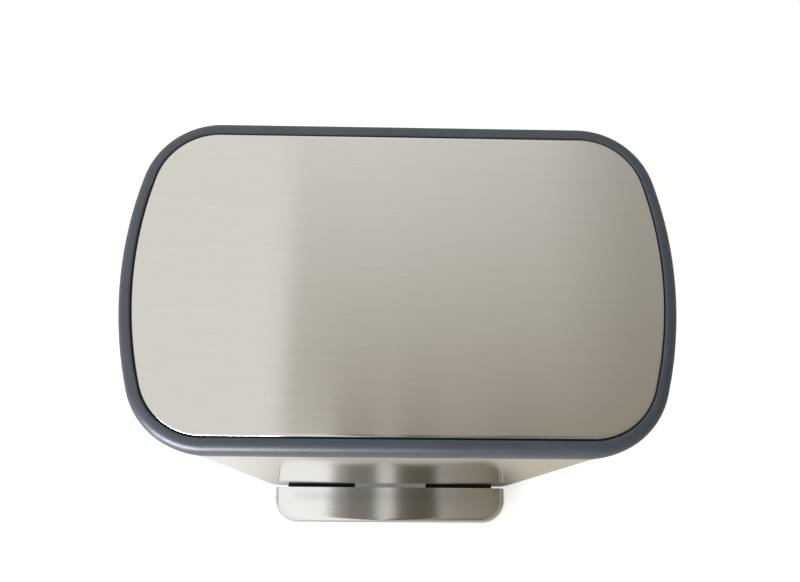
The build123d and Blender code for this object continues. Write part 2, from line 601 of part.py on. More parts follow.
def rubber_feet():
    plug_top = FLOOR_BOTTOM + FOOT_PLUG_GRIP
    return group(
        rod_z(x, y, 0, FOOT_HEIGHT, FOOT_RADIUS) + rod_z(x, y, FOOT_HEIGHT, plug_top, FOOT_PLUG_RADIUS)
        for x, y in foot_places()
    )


def base_screws():
    return group(screw_down(x, y, FLOOR_TOP, FOOT_HEIGHT + FIT) for x, y in floor_screw_places())


# ---- bucket
def tapered(low, high, top_offset, bottom_offset):
    bottom = Pos(0, 0, low) * Face(plan(bottom_offset, bucket=True))
    top = Pos(0, 0, high) * Face(plan(top_offset, bucket=True))
    return loft([bottom, top], ruled=True)


def inner_bucket():
    top = FLANGE_BOTTOM + BUCKET_FLANGE_THICKNESS
    side = -BUCKET_FLANGE
    foot = side - BUCKET_TAPER
    bucket = tapered(BUCKET_BOTTOM, top, side, foot)
    bucket += slab(FLANGE_BOTTOM, top, 0.0, bucket=True)
    bucket -= tapered(BUCKET_BOTTOM + BUCKET_WALL, top + 1, side - BUCKET_WALL, foot - BUCKET_WALL)
    grip_high = FLANGE_BOTTOM - GRIP_HOLE_DROP
    grip_low = grip_high - GRIP_HOLE_HEIGHT
    grip = block((-300, 300), (-GRIP_HOLE_WIDTH / 2, GRIP_HOLE_WIDTH / 2), (grip_low, grip_high))
    grip = Pos(0, BUCKET_Y, 0) * fillet(grip.edges().filter_by(Axis.X), GRIP_HOLE_HEIGHT / 2 - 1)
    return bucket - grip


# ---- hinge housing and pin
def hinge_housing():
    front = SHELL_BACK + REST_GAP
    profile = [
        (front, HOUSING_BOTTOM),
        (HOUSING_BACK, HOUSING_BOTTOM),
        (HOUSING_BACK, HOUSING_TOP - HOUSING_SLOPE),
        (front + HOUSING_SHOULDER, HOUSING_TOP),
        (front, HOUSING_TOP),
    ]
    body = side_profile(profile, -HOUSING_HALF_WIDTH, HOUSING_HALF_WIDTH)
    body = fillet([edge for edge in body.edges() if edge.center().Y > front + LAP], HOUSING_EDGE_RADIUS)
    half = ARM_WIDTH / 2 + ARM_SIDE_GAP
    for x in ARM_PLACES:
        body -= block((x - half, x + half), (front - 1, HOUSING_BACK + 1), (NOTCH_BOTTOM, HOUSING_TOP + 1))
    slot_y = (front - 1, HINGE_Y + NOSE_SLOT_GAP)
    body -= block((-NOSE_WIDTH, NOSE_WIDTH), slot_y, (GRIP_TOP + GRIP_ROOF_MIN, NOTCH_BOTTOM + 1))
    grip_y = (front - 1, HOUSING_BACK - HOUSING_WALL)
    body -= block((-GRIP_HALF_WIDTH, GRIP_HALF_WIDTH), grip_y, (HOUSING_BOTTOM - 1, GRIP_TOP))
    end = HOUSING_HALF_WIDTH + 1
    body -= rod_x(HINGE_Y, HINGE_Z, -end, end, PIN_RADIUS + RUNNING_FIT)
    for x in HOUSING_SCREW_X:
        body -= rod_y(x, HOUSING_SCREW_Z, front - 1, SHELL_BACK + HOUSING_SCREW_GRIP + 1, SCREW_RADIUS)
    return body


def hinge_pin():
    end = HOUSING_HALF_WIDTH - PIN_END_INSET
    return rod_x(HINGE_Y, HINGE_Z, -end, end, PIN_RADIUS)


def pin_caps():
    high = HOUSING_HALF_WIDTH
    plug = rod_x(HINGE_Y, HINGE_Z, high - CAP_PLUG, high, PIN_RADIUS)
    plug += rod_x(HINGE_Y, HINGE_Z, high, high + CAP_FLANGE, PIN_RADIUS + CAP_FLANGE)
    return group([plug, mirror(plug, about=Plane.YZ)])


def housing_screws():
    inside = SHELL_BACK_INNER
    return group(
        rod_y(x, HOUSING_SCREW_Z, inside - SCREW_HEAD, inside, SCREW_HEAD_RADIUS)
        + rod_y(x, HOUSING_SCREW_Z, inside, SHELL_BACK + HOUSING_SCREW_GRIP, SCREW_RADIUS)
        for x in HOUSING_SCREW_X
    )


# ---- push rod, guides, channel, damper
def push_rod():
    return rod_z(0, ROD_Y, ROD_FOOT_BOTTOM + ROD_SOCKET_END, ROD_HEAD_TOP - ROD_SOCKET_END, ROD_RADIUS)


def rod_foot():
    low = ROD_FOOT_BOTTOM
    foot = Pos(0, ROD_Y, low + ROD_FOOT_RADIUS) * Sphere(ROD_FOOT_RADIUS)
    foot += rod_z(0, ROD_Y, low + ROD_FOOT_RADIUS, low + ROD_FOOT_HEIGHT, ROD_FOOT_RADIUS)
    return foot - rod_z(0, ROD_Y, low + ROD_SOCKET_END, low + ROD_FOOT_HEIGHT + 1, ROD_RADIUS)


def rod_head():
    span = (-ROD_HEAD_HALF_WIDTH, ROD_HEAD_HALF_WIDTH)
    head = block(span, (ROD_Y - ROD_HEAD_HALF, ROD_Y + ROD_HEAD_HALF), (YOKE_TOP, ROD_HEAD_TOP))
    rear_edge = head.edges().filter_by(Axis.X).group_by(Axis.Z)[-1].sort_by(Axis.Y)[-1]
    head = chamfer(rear_edge, ROD_HEAD_CHAMFER)
    return head - rod_z(0, ROD_Y, YOKE_TOP - 1, ROD_HEAD_TOP - ROD_SOCKET_END, ROD_RADIUS)


def rod_guide(z):
    depth = (CHANNEL_FRONT + CHANNEL_SHEET, SHELL_BACK_INNER)
    guide = block((-GUIDE_HALF_WIDTH, GUIDE_HALF_WIDTH), depth, (z, z + GUIDE_HEIGHT))
    return guide - rod_z(0, ROD_Y, z - 1, z + GUIDE_HEIGHT + 1, ROD_RADIUS + RUNNING_FIT)


def rod_channel():
    back = SHELL_BACK_INNER
    half = CHANNEL_HALF_WIDTH
    outer = block((-half, half), (CHANNEL_FRONT, back), (CHANNEL_BOTTOM, CHANNEL_TOP))
    inner = half - CHANNEL_SHEET
    depth = (CHANNEL_FRONT + CHANNEL_SHEET, back + 1)
    hollow = block((-inner, inner), depth, (CHANNEL_BOTTOM - 1, CHANNEL_TOP + 1))
    wing = half + CHANNEL_FLANGE
    wings = block((-wing, wing), (back - CHANNEL_SHEET, back), (CHANNEL_BOTTOM, CHANNEL_TOP)) - hollow
    return (outer - hollow) + wings


def damper_cylinder():
    tube = rod_z(DAMPER_X, ROD_Y, DAMPER_BOTTOM, DAMPER_TOP, DAMPER_RADIUS)
    bore_top = DAMPER_TOP - DAMPER_END
    tube -= rod_z(DAMPER_X, ROD_Y, DAMPER_BOTTOM + DAMPER_END, bore_top, DAMPER_BORE)
    return tube - rod_z(DAMPER_X, ROD_Y, bore_top - 1, DAMPER_TOP + 1, PLUNGER_RADIUS + RUNNING_FIT)


def damper_plunger():
    low = DAMPER_BOTTOM + DAMPER_END + PISTON_RISE
    piston = rod_z(DAMPER_X, ROD_Y, low, low + PISTON_HEIGHT, DAMPER_BORE - RUNNING_FIT)
    return piston + rod_z(DAMPER_X, ROD_Y, low + PISTON_HEIGHT, YOKE_BOTTOM, PLUNGER_RADIUS)


def damper_yoke():
    depth = (ROD_Y - YOKE_HALF, ROD_Y + YOKE_HALF)
    plate = block((-YOKE_END, DAMPER_X + YOKE_HALF), depth, (YOKE_BOTTOM, YOKE_TOP))
    plate = fillet(plate.edges().filter_by(Axis.Z), YOKE_CORNER)
    return plate - rod_z(0, ROD_Y, YOKE_BOTTOM - 1, YOKE_TOP + 1, ROD_RADIUS)


def damper_clamps():
    clamps = []
    half = DAMPER_RADIUS + CLAMP_WALL
    for low in (DAMPER_BOTTOM + CLAMP_INSET, DAMPER_TOP - CLAMP_INSET - CLAMP_HEIGHT):
        high = low + CLAMP_HEIGHT
        clamp = block((DAMPER_X - half, DAMPER_X + half), (ROD_Y - half, SHELL_BACK_INNER), (low, high))
        clamps.append(clamp - rod_z(DAMPER_X, ROD_Y, low - 1, high + 1, DAMPER_RADIUS))
    return group(clamps)


# ---- pedal, lever, axle
def pedal_outline(inset, run_on=0.0):
    """Plan of the pedal: round front corners, tight rear corners unless it runs on behind."""
    half = PEDAL_HALF_WIDTH - inset
    low = PEDAL_FRONT + inset
    high = PEDAL_REAR - inset + run_on
    shape = Pos(0, (low + high) / 2) * Rectangle(2 * half, high - low)
    shape = fillet(shape.vertices().group_by(Axis.Y)[0], PEDAL_CORNER - inset)
    if run_on:
        return shape
    return fillet(shape.vertices().group_by(Axis.Y)[-1], PEDAL_REAR_CORNER - inset)


def pedal_form(low, high, inset):
    """A pressing with a rounded bend along its front and sides, trimmed square at the rear."""
    form = extrude(Pos(0, 0, low) * pedal_outline(inset, PEDAL_REAR_RUN), amount=high - low)
    bend = form.edges().group_by(Axis.Z)[-1].sort_by(Axis.Y)[:-1]
    return fillet(bend, PEDAL_BEND - inset)


def pedal_plate():
    low = PEDAL_TOP - PEDAL_SKIRT
    outer = pedal_form(low, PEDAL_TOP, 0.0)
    inner = pedal_form(low - 1, PLATE_UNDER, PEDAL_SHEET)
    trim = extrude(Pos(0, 0, low) * pedal_outline(0.0), amount=PEDAL_SKIRT)
    return (outer - inner) & trim


def lever_side(low_x, high_x, drop=0.0):
    """Side view of the lever, pushed through in X; drop lowers its upper edge."""
    top = PLATE_UNDER - drop
    rear_top = LEVER_REAR_TOP - drop
    bottom_front = PLATE_UNDER - LEVER_FRONT_DEPTH
    points = [
        (LEVER_FRONT, top),
        (LEVER_BEND_FRONT, top),
        (LEVER_BEND_REAR, rear_top),
        (LEVER_REAR, rear_top),
        (LEVER_REAR, LEVER_REAR_TOP - LEVER_REAR_DEPTH),
        (AXLE_Y + LEVER_EAR_RUN, LEVER_REAR_TOP - LEVER_REAR_DEPTH),
        (AXLE_Y + LEVER_EAR_HALF, AXLE_Z - LEVER_BELOW_AXLE),
        (AXLE_Y - LEVER_EAR_HALF, AXLE_Z - LEVER_BELOW_AXLE),
        (LEVER_BEND_FRONT, AXLE_Z - LEVER_FRONT_RISE),
        (SHELL_FRONT, bottom_front),
        (LEVER_FRONT, bottom_front),
    ]
    return side_profile(points, low_x, high_x)


def pedal_lever():
    half = LEVER_HALF_WIDTH
    inner = half - LEVER_SHEET
    lever = lever_side(-half, half)
    hollow = lever_side(-inner, inner, LEVER_SHEET)
    lever -= hollow + Pos(0, 0, -LEVER_OPEN_DROP) * hollow
    lever -= rod_x(AXLE_Y, AXLE_Z, -half - 1, half + 1, AXLE_RADIUS)
    for x, y in pedal_screw_places():
        lever -= rod_z(x, y, PLATE_UNDER - LEVER_SHEET - 1, PLATE_UNDER + 1, SCREW_RADIUS)
    return lever


def pedal_screw_places():
    y = (PEDAL_REAR + PEDAL_FRONT) / 2
    pitch = PEDAL_SCREW_HALF_PITCH
    return [(x, y + dy) for x in (-PEDAL_SCREW_X, PEDAL_SCREW_X) for dy in (-pitch, pitch)]


def pedal_core():
    """Plastic block that closes the pedal from beneath and wraps the lever."""
    inset = PEDAL_SHEET + FIT
    top = PLATE_UNDER - REST_GAP
    trim = extrude(Pos(0, 0, CORE_BOTTOM) * pedal_outline(inset), amount=top - CORE_BOTTOM)
    core = pedal_form(CORE_BOTTOM, top, inset) & trim
    half = LEVER_HALF_WIDTH + FIT
    low = PLATE_UNDER - LEVER_FRONT_DEPTH - FIT
    core -= block((-half, half), (LEVER_FRONT - FIT, PEDAL_REAR + 1), (low, PEDAL_TOP))
    inner = LEVER_HALF_WIDTH - LEVER_SHEET - FIT
    rib_top = PLATE_UNDER - LEVER_SHEET - FIT
    core += block((-inner, inner), (LEVER_FRONT + 1, PEDAL_REAR - 1), (low - LAP, rib_top))
    for x, y in pedal_screw_places():
        core -= rod_z(x, y, CORE_BOTTOM - 1, PEDAL_TOP, SCREW_RADIUS)
        core -= rod_z(x, y, CORE_BOTTOM - 1, CORE_BOTTOM + SCREW_HEAD, SCREW_HEAD_RADIUS + FIT)
    return core


def pedal_screws():
    length = PLATE_UNDER - FIT - CORE_BOTTOM - SCREW_HEAD
    return group(screw_up(x, y, CORE_BOTTOM, length) for x, y in pedal_screw_places())


def pedal_axle():
    end = LEVER_HALF_WIDTH + BUSH_FLANGE + BRACKET_SHEET + AXLE_END
    return rod_x(AXLE_Y, AXLE_Z, -end, end, AXLE_RADIUS)


def bracket_screw_places():
    x = BRACKET_OUT + BRACKET_FOOT / 2 + 1
    pitch = BRACKET_SCREW_HALF_PITCH
    return [(side * x, AXLE_Y + dy) for side in (-1, 1) for dy in (-pitch, pitch)]


def axle_bracket(side):
    half = BRACKET_HALF_LENGTH
    depth = (AXLE_Y - half, AXLE_Y + half)
    ear = block((BRACKET_IN, BRACKET_OUT), depth, (FLOOR_TOP, AXLE_Z))
    ear += rod_x(AXLE_Y, AXLE_Z, BRACKET_IN, BRACKET_OUT, half)
    ear += block((BRACKET_IN, BRACKET_OUT + BRACKET_FOOT), depth, (FLOOR_TOP, FLOOR_TOP + BRACKET_FOOT_SHEET))
    ear -= rod_x(AXLE_Y, AXLE_Z, BRACKET_IN - 1, BRACKET_OUT + 1, BUSH_RADIUS)
    for x, y in bracket_screw_places():
        ear -= rod_z(x, y, FLOOR_TOP - 1, FLOOR_TOP + BRACKET_FOOT_SHEET + 1, SCREW_RADIUS)
    return ear if side > 0 else mirror(ear, about=Plane.YZ)


def axle_bushes():
    bush = rod_x(AXLE_Y, AXLE_Z, BRACKET_IN, BRACKET_OUT, BUSH_RADIUS)
    bush += rod_x(AXLE_Y, AXLE_Z, BRACKET_IN - BUSH_FLANGE, BRACKET_IN, BUSH_FLANGE_RADIUS)
    bush -= rod_x(AXLE_Y, AXLE_Z, BRACKET_IN - 5, BRACKET_OUT + 5, AXLE_RADIUS + RUNNING_FIT)
    return group([bush, mirror(bush, about=Plane.YZ)])


def axle_clips():
    low = BRACKET_OUT + CLIP_GAP
    clip = rod_x(AXLE_Y, AXLE_Z, low, low + CLIP_THICKNESS, CLIP_RADIUS)
    clip -= rod_x(AXLE_Y, AXLE_Z, low - 1, low + 2, AXLE_RADIUS)
    mouth = (AXLE_Y - CLIP_MOUTH, AXLE_Y + CLIP_MOUTH)
    clip -= block((low - 1, low + 2), mouth, (AXLE_Z, AXLE_Z + CLIP_RADIUS + 1))
    return group([clip, mirror(clip, about=Plane.YZ)])


def bracket_screws():
    low = FLOOR_TOP + BRACKET_FOOT_SHEET
    return group(screw_down(x, y, low, FLOOR_BOTTOM + FIT) for x, y in bracket_screw_places())


def lift_pad():
    half = LIFT_PAD_HALF_WIDTH
    depth = (LEVER_REAR - LIFT_PAD_LENGTH, LEVER_REAR - LIFT_PAD_END)
    return block((-half, half), depth, (LEVER_REAR_TOP, PAD_TOP))


def pedal_stops():
    """Rubber buffers on the floor that the pressed lever meets."""
    y = LEVER_BEND_FRONT - STOP_SETBACK
    x = LEVER_HALF_WIDTH - LEVER_SHEET / 2
    return group(rod_z(sx * x, y, FLOOR_TOP, FLOOR_TOP + STOP_HEIGHT, STOP_RADIUS) for sx in (-1, 1))


# ---- every piece, one file each
PIECES = {
    "lid_panel": lid_panel,
    "lid_rim": lid_rim,
    "lid_liner": lid_liner,
    "hinge_arm_left": lambda: arm_body(-ARM_X, ARM_WIDTH / 2),
    "hinge_arm_right": lambda: arm_body(ARM_X, ARM_WIDTH / 2),
    "lift_lever": lift_lever,
    "lid_screws": lid_screws,
    "lid_bumpers": lid_bumpers,
    "outer_shell": outer_shell,
    "top_collar": top_collar,
    "base_ring": base_ring,
    "base_floor": base_floor,
    "rubber_feet": rubber_feet,
    "base_screws": base_screws,
    "inner_bucket": inner_bucket,
    "hinge_housing": hinge_housing,
    "hinge_pin": hinge_pin,
    "pin_caps": pin_caps,
    "housing_screws": housing_screws,
    "push_rod": push_rod,
    "rod_foot": rod_foot,
    "rod_head": rod_head,
    "rod_guide_lower": lambda: rod_guide(GUIDE_LOW_Z),
    "rod_guide_upper": lambda: rod_guide(GUIDE_HIGH_Z),
    "rod_channel": rod_channel,
    "damper_cylinder": damper_cylinder,
    "damper_plunger": damper_plunger,
    "damper_yoke": damper_yoke,
    "damper_clamps": damper_clamps,
    "pedal_plate": pedal_plate,
    "pedal_core": pedal_core,
    "pedal_screws": pedal_screws,
    "pedal_lever": pedal_lever,
    "pedal_axle": pedal_axle,
    "axle_bracket_left": lambda: axle_bracket(-1),
    "axle_bracket_right": lambda: axle_bracket(1),
    "axle_bushes": axle_bushes,
    "axle_clips": axle_clips,
    "bracket_screws": bracket_screws,
    "lift_pad": lift_pad,
    "pedal_stops": pedal_stops,
}

os.makedirs("parts", exist_ok=True)
for piece_name, make in PIECES.items():
    write(piece_name, make())
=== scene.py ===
import json
import math

import bmesh
import bpy
from mathutils import Euler, Matrix, Vector


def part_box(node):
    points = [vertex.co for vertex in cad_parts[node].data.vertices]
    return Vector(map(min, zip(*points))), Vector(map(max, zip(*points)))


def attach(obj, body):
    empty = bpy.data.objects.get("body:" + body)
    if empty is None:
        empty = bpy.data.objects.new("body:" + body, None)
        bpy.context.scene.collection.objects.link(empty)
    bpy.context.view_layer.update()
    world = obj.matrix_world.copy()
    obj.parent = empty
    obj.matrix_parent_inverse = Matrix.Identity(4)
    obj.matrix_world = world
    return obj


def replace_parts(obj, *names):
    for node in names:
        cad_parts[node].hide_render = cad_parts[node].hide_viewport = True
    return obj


# Lengths are in metres in the part's own frame: +Z is up, +X right, and the pedal is on the -Y side.
X, Y, Z = 0, 1, 2

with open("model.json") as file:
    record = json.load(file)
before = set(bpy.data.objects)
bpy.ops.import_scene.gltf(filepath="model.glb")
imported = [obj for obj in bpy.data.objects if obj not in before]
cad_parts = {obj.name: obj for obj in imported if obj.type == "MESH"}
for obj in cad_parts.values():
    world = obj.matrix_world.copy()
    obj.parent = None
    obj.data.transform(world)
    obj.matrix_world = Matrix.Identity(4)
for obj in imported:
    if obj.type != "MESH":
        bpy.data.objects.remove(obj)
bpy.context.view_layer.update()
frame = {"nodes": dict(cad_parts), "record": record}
scene = bpy.context.scene
scene.view_settings.view_transform = "Standard"

# ---- camera: a phone held above the bin, looking almost straight down
FOCAL_PIXELS = 856.2
IMAGE_WIDTH = 800
SENSOR_WIDTH = 36.0
NEAREST = 0.01
CAMERA_PLACE = Vector((-0.01251, -0.16403, 1.15979))
# degrees; with all three at 0 it looks straight down, with its top towards +Y
CAMERA_TILT = 15.237
CAMERA_LEAN = -1.288
CAMERA_TWIST = 0.373


def add_camera():
    data = bpy.data.cameras.new("camera")
    data.sensor_width = SENSOR_WIDTH
    data.lens = SENSOR_WIDTH * FOCAL_PIXELS / IMAGE_WIDTH
    data.clip_start = NEAREST
    camera = bpy.data.objects.new("camera", data)
    scene.collection.objects.link(camera)
    turn = Euler(map(math.radians, (CAMERA_TILT, CAMERA_LEAN, CAMERA_TWIST)), "XYZ")
    camera.matrix_world = Matrix.Translation(CAMERA_PLACE) @ turn.to_matrix().to_4x4()
    scene.camera = camera


# ---- node helpers
NOISE_SPAN = (0.3, 0.7)  # most values of a noise lie between these


def feed(tree, socket, value):
    """Give a socket a number, a colour, or another node's output."""
    if isinstance(value, (int, float)):
        socket.default_value = value
    elif isinstance(value, (tuple, list)):
        socket.default_value = (*value, 1)
    else:
        tree.links.new(value, socket)


def object_coordinates(tree, scale=(1, 1, 1), offset=(0, 0, 0)):
    source = tree.nodes.new("ShaderNodeTexCoord")
    mapping = tree.nodes.new("ShaderNodeMapping")
    mapping.inputs["Location"].default_value = offset
    mapping.inputs["Scale"].default_value = scale
    tree.links.new(source.outputs["Object"], mapping.inputs["Vector"])
    return mapping.outputs[0]


def noise(tree, scale, detail=2.0, roughness=0.5, offset=(0, 0, 0)):
    """Noise over the object's own coordinates; scale is in cycles per metre along each axis."""
    texture = tree.nodes.new("ShaderNodeTexNoise")
    texture.inputs["Scale"].default_value = 1.0
    texture.inputs["Detail"].default_value = detail
    texture.inputs["Roughness"].default_value = roughness
    tree.links.new(object_coordinates(tree, scale, offset), texture.inputs["Vector"])
    return texture.outputs["Fac"]


def remap(tree, value, low, high, from_low=NOISE_SPAN[0], from_high=NOISE_SPAN[1]):
    """Turn from_low..from_high into low..high, and hold the value at its ends."""
    node = tree.nodes.new("ShaderNodeMapRange")
    node.inputs["From Min"].default_value = from_low
    node.inputs["From Max"].default_value = from_high
    node.inputs["To Min"].default_value = low
    node.inputs["To Max"].default_value = high
    tree.links.new(value, node.inputs["Value"])
    return node.outputs[0]


def math_node(tree, operation, first, second=0):
    node = tree.nodes.new("ShaderNodeMath")
    node.operation = operation
    feed(tree, node.inputs[0], first)
    feed(tree, node.inputs[1], second)
    return node.outputs[0]


def mix_colours(tree, factor, first, second):
    """The first colour where factor is 0, the second where it is 1."""
    node = tree.nodes.new("ShaderNodeMix")
    node.data_type = "RGBA"
    feed(tree, node.inputs["Factor"], factor)
    feed(tree, node.inputs["A"], first)
    feed(tree, node.inputs["B"], second)
    return node.outputs["Result"]


def new_material(name):
    material = bpy.data.materials.new(name)
    material.use_nodes = True
    tree = material.node_tree
    tree.nodes.clear()
    output = tree.nodes.new("ShaderNodeOutputMaterial")
    shader = tree.nodes.new("ShaderNodeBsdfPrincipled")
    tree.links.new(shader.outputs[0], output.inputs[0])
    return material, tree, shader


def colour_by(tree, shader, value, colour, darkest, lightest, span=NOISE_SPAN):
    """Vary the shader's colour with a noise, between two shares of one colour."""
    dark = [c * darkest for c in colour]
    light = [min(c * lightest, 1.0) for c in colour]
    factor = remap(tree, value, 0, 1, *span)
    tree.links.new(mix_colours(tree, factor, dark, light), shader.inputs["Base Color"])


def bump(tree, shader, height, distance):
    node = tree.nodes.new("ShaderNodeBump")
    node.inputs["Strength"].default_value = 1.0
    node.inputs["Distance"].default_value = distance
    tree.links.new(height, node.inputs["Height"])
    tree.links.new(node.outputs[0], shader.inputs["Normal"])


# ---- materials; lines and clouds are in cycles per metre
FINE_LINES = (60.0, 2200.0)  # along the grain and across it
FINE_DETAIL = (3.0, 0.6)  # a noise's detail and roughness
BROAD_LINES = (12.0, 420.0)
BROAD_OFFSET = (3.1, 1.7, 0.4)
FINE_SHARE = 0.65
STREAK_SPAN = (0.36, 0.64)
LINE_ROUGHNESS = (0.85, 1.15)
STEEL_CLOUDS = 9.0
CLOUD_ROUGHNESS = (0.94, 1.06)


def line_scale(grain, lines):
    """The scale of a noise that is drawn out into lines along the axes in grain."""
    along, across = lines
    return [along if axis in grain else across for axis in (X, Y, Z)]


def brushed_steel(name, colour, roughness, grain, blur, anisotropy, depth, streak):
    """Brushed steel: grain lists the axes its lines run along, blur is the one reflections smear along."""
    material, tree, shader = new_material(name)
    fine = noise(tree, line_scale(grain, FINE_LINES), *FINE_DETAIL)
    broad = noise(tree, line_scale(grain, BROAD_LINES), offset=BROAD_OFFSET)
    fine_part = math_node(tree, "MULTIPLY", fine, FINE_SHARE)
    broad_part = math_node(tree, "MULTIPLY", broad, 1 - FINE_SHARE)
    streaks = math_node(tree, "ADD", fine_part, broad_part)
    colour_by(tree, shader, streaks, colour, 1 - streak, 1 + streak, STREAK_SPAN)
    line_rough = remap(tree, fine, *(roughness * share for share in LINE_ROUGHNESS))
    cloud_rough = remap(tree, noise(tree, (STEEL_CLOUDS,) * 3), *CLOUD_ROUGHNESS)
    tree.links.new(math_node(tree, "MULTIPLY", line_rough, cloud_rough), shader.inputs["Roughness"])
    shader.inputs["Metallic"].default_value = 1.0
    shader.inputs["Anisotropic"].default_value = anisotropy
    smear = tree.nodes.new("ShaderNodeCombineXYZ")
    smear.inputs[blur].default_value = 1.0
    tree.links.new(smear.outputs[0], shader.inputs["Tangent"])
    bump(tree, shader, fine, depth)
    return material


PLASTIC_MOTTLES = 34.0
MOTTLE_DETAIL = (3.0, 0.55)
PLASTIC_SHEEN = 90.0
SHEEN_OFFSET = (5.0, 2.0, 1.0)
SHEEN_ROUGHNESS = (0.88, 1.12)
PLASTIC_GRAIN = (0.0006, 0.00004)  # the size of a grain and its depth


def moulded_plastic(name, colour, roughness, grain=PLASTIC_GRAIN, mottle=0.08, gloss=0.5):
    """Moulded plastic with a fine eroded grain, faint mottling and slightly uneven sheen."""
    grain_size, grain_depth = grain
    material, tree, shader = new_material(name)
    mottling = noise(tree, (PLASTIC_MOTTLES,) * 3, *MOTTLE_DETAIL)
    colour_by(tree, shader, mottling, colour, 1 - mottle, 1 + mottle)
    sheen = noise(tree, (PLASTIC_SHEEN,) * 3, offset=SHEEN_OFFSET)
    uneven = remap(tree, sheen, *(roughness * share for share in SHEEN_ROUGHNESS))
    tree.links.new(uneven, shader.inputs["Roughness"])
    shader.inputs["Specular IOR Level"].default_value = gloss
    bump(tree, shader, noise(tree, (1.0 / grain_size,) * 3), grain_depth)
    return material


PLATING_GRAIN = (320.0, 320.0)
PLATING_CLOUDS = 60.0
PLATING_SHADES = (0.9, 1.08)
PLATING_ROUGHNESS = (0.8, 1.25)
PLATING_DEPTH = 0.00002


def plated_metal(name, colour, roughness, drawn_along=None, metallic=1.0):
    """Zinc-plated or drawn metal: cloudy plating, with faint lines along the way it was drawn."""
    material, tree, shader = new_material(name)
    lines = PLATING_GRAIN if drawn_along is None else FINE_LINES
    surface = noise(tree, line_scale((drawn_along,), lines), *FINE_DETAIL)
    clouds = noise(tree, (PLATING_CLOUDS,) * 3, *FINE_DETAIL)
    colour_by(tree, shader, clouds, colour, *PLATING_SHADES)
    uneven = remap(tree, surface, *(roughness * share for share in PLATING_ROUGHNESS))
    tree.links.new(uneven, shader.inputs["Roughness"])
    shader.inputs["Metallic"].default_value = metallic
    bump(tree, shader, surface, PLATING_DEPTH)
    return material


STEELS = {
    "top_steel": dict(colour=(0.632, 0.616, 0.588), roughness=0.13, grain=(X,), blur=Y,
                      anisotropy=0.95, depth=0.000003, streak=0.022),
    "body_steel": dict(colour=(0.80, 0.79, 0.75), roughness=0.065, grain=(X, Y), blur=Z,
                       anisotropy=0.3, depth=0.000001, streak=0.03),
    "pedal_steel": dict(colour=(0.80, 0.78, 0.76), roughness=0.07, grain=(X,), blur=Y,
                        anisotropy=0.9, depth=0.000001, streak=0.03),
}
PLASTICS = {
    "rim_plastic": dict(colour=(0.041, 0.055, 0.073), roughness=0.42, gloss=0.65),
    "collar_plastic": dict(colour=(0.050, 0.058, 0.068), roughness=0.42),
    "liner_plastic": dict(colour=(0.050, 0.058, 0.068), roughness=0.5, grain=(0.0009, 0.00006)),
    "black_plastic": dict(colour=(0.018, 0.018, 0.020), roughness=0.48, grain=(0.0008, 0.00006)),
    "arm_plastic": dict(colour=(0.028, 0.030, 0.034), roughness=0.5, grain=(0.0005, 0.00005)),
    "bucket_plastic": dict(colour=(0.050, 0.053, 0.058), roughness=0.36, grain=(0.0012, 0.00003)),
    "nylon": dict(colour=(0.72, 0.71, 0.67), roughness=0.38, grain=(0.0008, 0.00002), mottle=0.03),
    "rubber": dict(colour=(0.022, 0.022, 0.022), roughness=0.75, grain=(0.0004, 0.00005)),
}
PLATED = {
    "screw_steel": dict(colour=(0.56, 0.56, 0.57), roughness=0.32),
    "rod_steel": dict(colour=(0.60, 0.60, 0.61), roughness=0.18, drawn_along=Z),
    "zinc_steel": dict(colour=(0.42, 0.43, 0.44), roughness=0.42, metallic=0.6),
    "damper_metal": dict(colour=(0.60, 0.61, 0.63), roughness=0.28, drawn_along=Z),
}
MATERIALS = {}
for make, looks in ((brushed_steel, STEELS), (moulded_plastic, PLASTICS), (plated_metal, PLATED)):
    for slot_name, look in looks.items():
        MATERIALS[slot_name] = make(slot_name, **look)


def dress_nodes():
    """Every CAD node takes the material of its slot in the record."""
    for part in frame["record"]["subparts"]:
        node = frame["nodes"][part["node"]]
        node.data.materials.clear()
        node.data.materials.append(MATERIALS[part["material_slot"]])


# ---- making pieces from meshes
WELD = 1e-6
SHARP_ANGLE = math.radians(35)


def welded_copy(node):
    """A copy of a CAD node's mesh, with the points that its faces repeat joined."""
    mesh = bmesh.new()
    mesh.from_mesh(frame["nodes"][node].data)
    bmesh.ops.remove_doubles(mesh, verts=mesh.verts, dist=WELD)
    return mesh


def smooth_piece(name, mesh, slot):
    """An object with this mesh, shaded smooth up to its sharp edges."""
    data = bpy.data.meshes.new(name)
    mesh.to_mesh(data)
    mesh.free()
    for polygon in data.polygons:
        polygon.use_smooth = True
    piece = bpy.data.objects.new(name, data)
    scene.collection.objects.link(piece)
    data.set_sharp_from_angle(angle=SHARP_ANGLE)
    data.materials.append(MATERIALS[slot])
    return piece


def looped_piece(name, loops, body, slot):
    """A closed piece skinned over loops of equal length, with a cap on the first and the last."""
    mesh = bmesh.new()
    rings = [[mesh.verts.new(point) for point in loop] for loop in loops]
    for lower, upper in zip(rings, rings[1:]):
        for i in range(len(lower)):
            mesh.faces.new((lower[i - 1], lower[i], upper[i], upper[i - 1]))
    mesh.faces.new(list(reversed(rings[0])))
    mesh.faces.new(rings[-1])
    bmesh.ops.recalc_face_normals(mesh, faces=mesh.faces)
    piece = smooth_piece(name, mesh, slot)
    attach(piece, body)
    return piece


# ---- the steel wrap bulges a little in the middle of its broad front
BULGE = 0.0030  # at the middle, in front of the CAD sheet
BULGE_POWER = math.sqrt(2)
FLAT_HALF_WIDTH = 0.150
FRONT_SIDE = -0.06
LEVEL_STEP = 0.008
COLUMN_STEP = 0.0145
COLUMNS_EACH_SIDE = 11


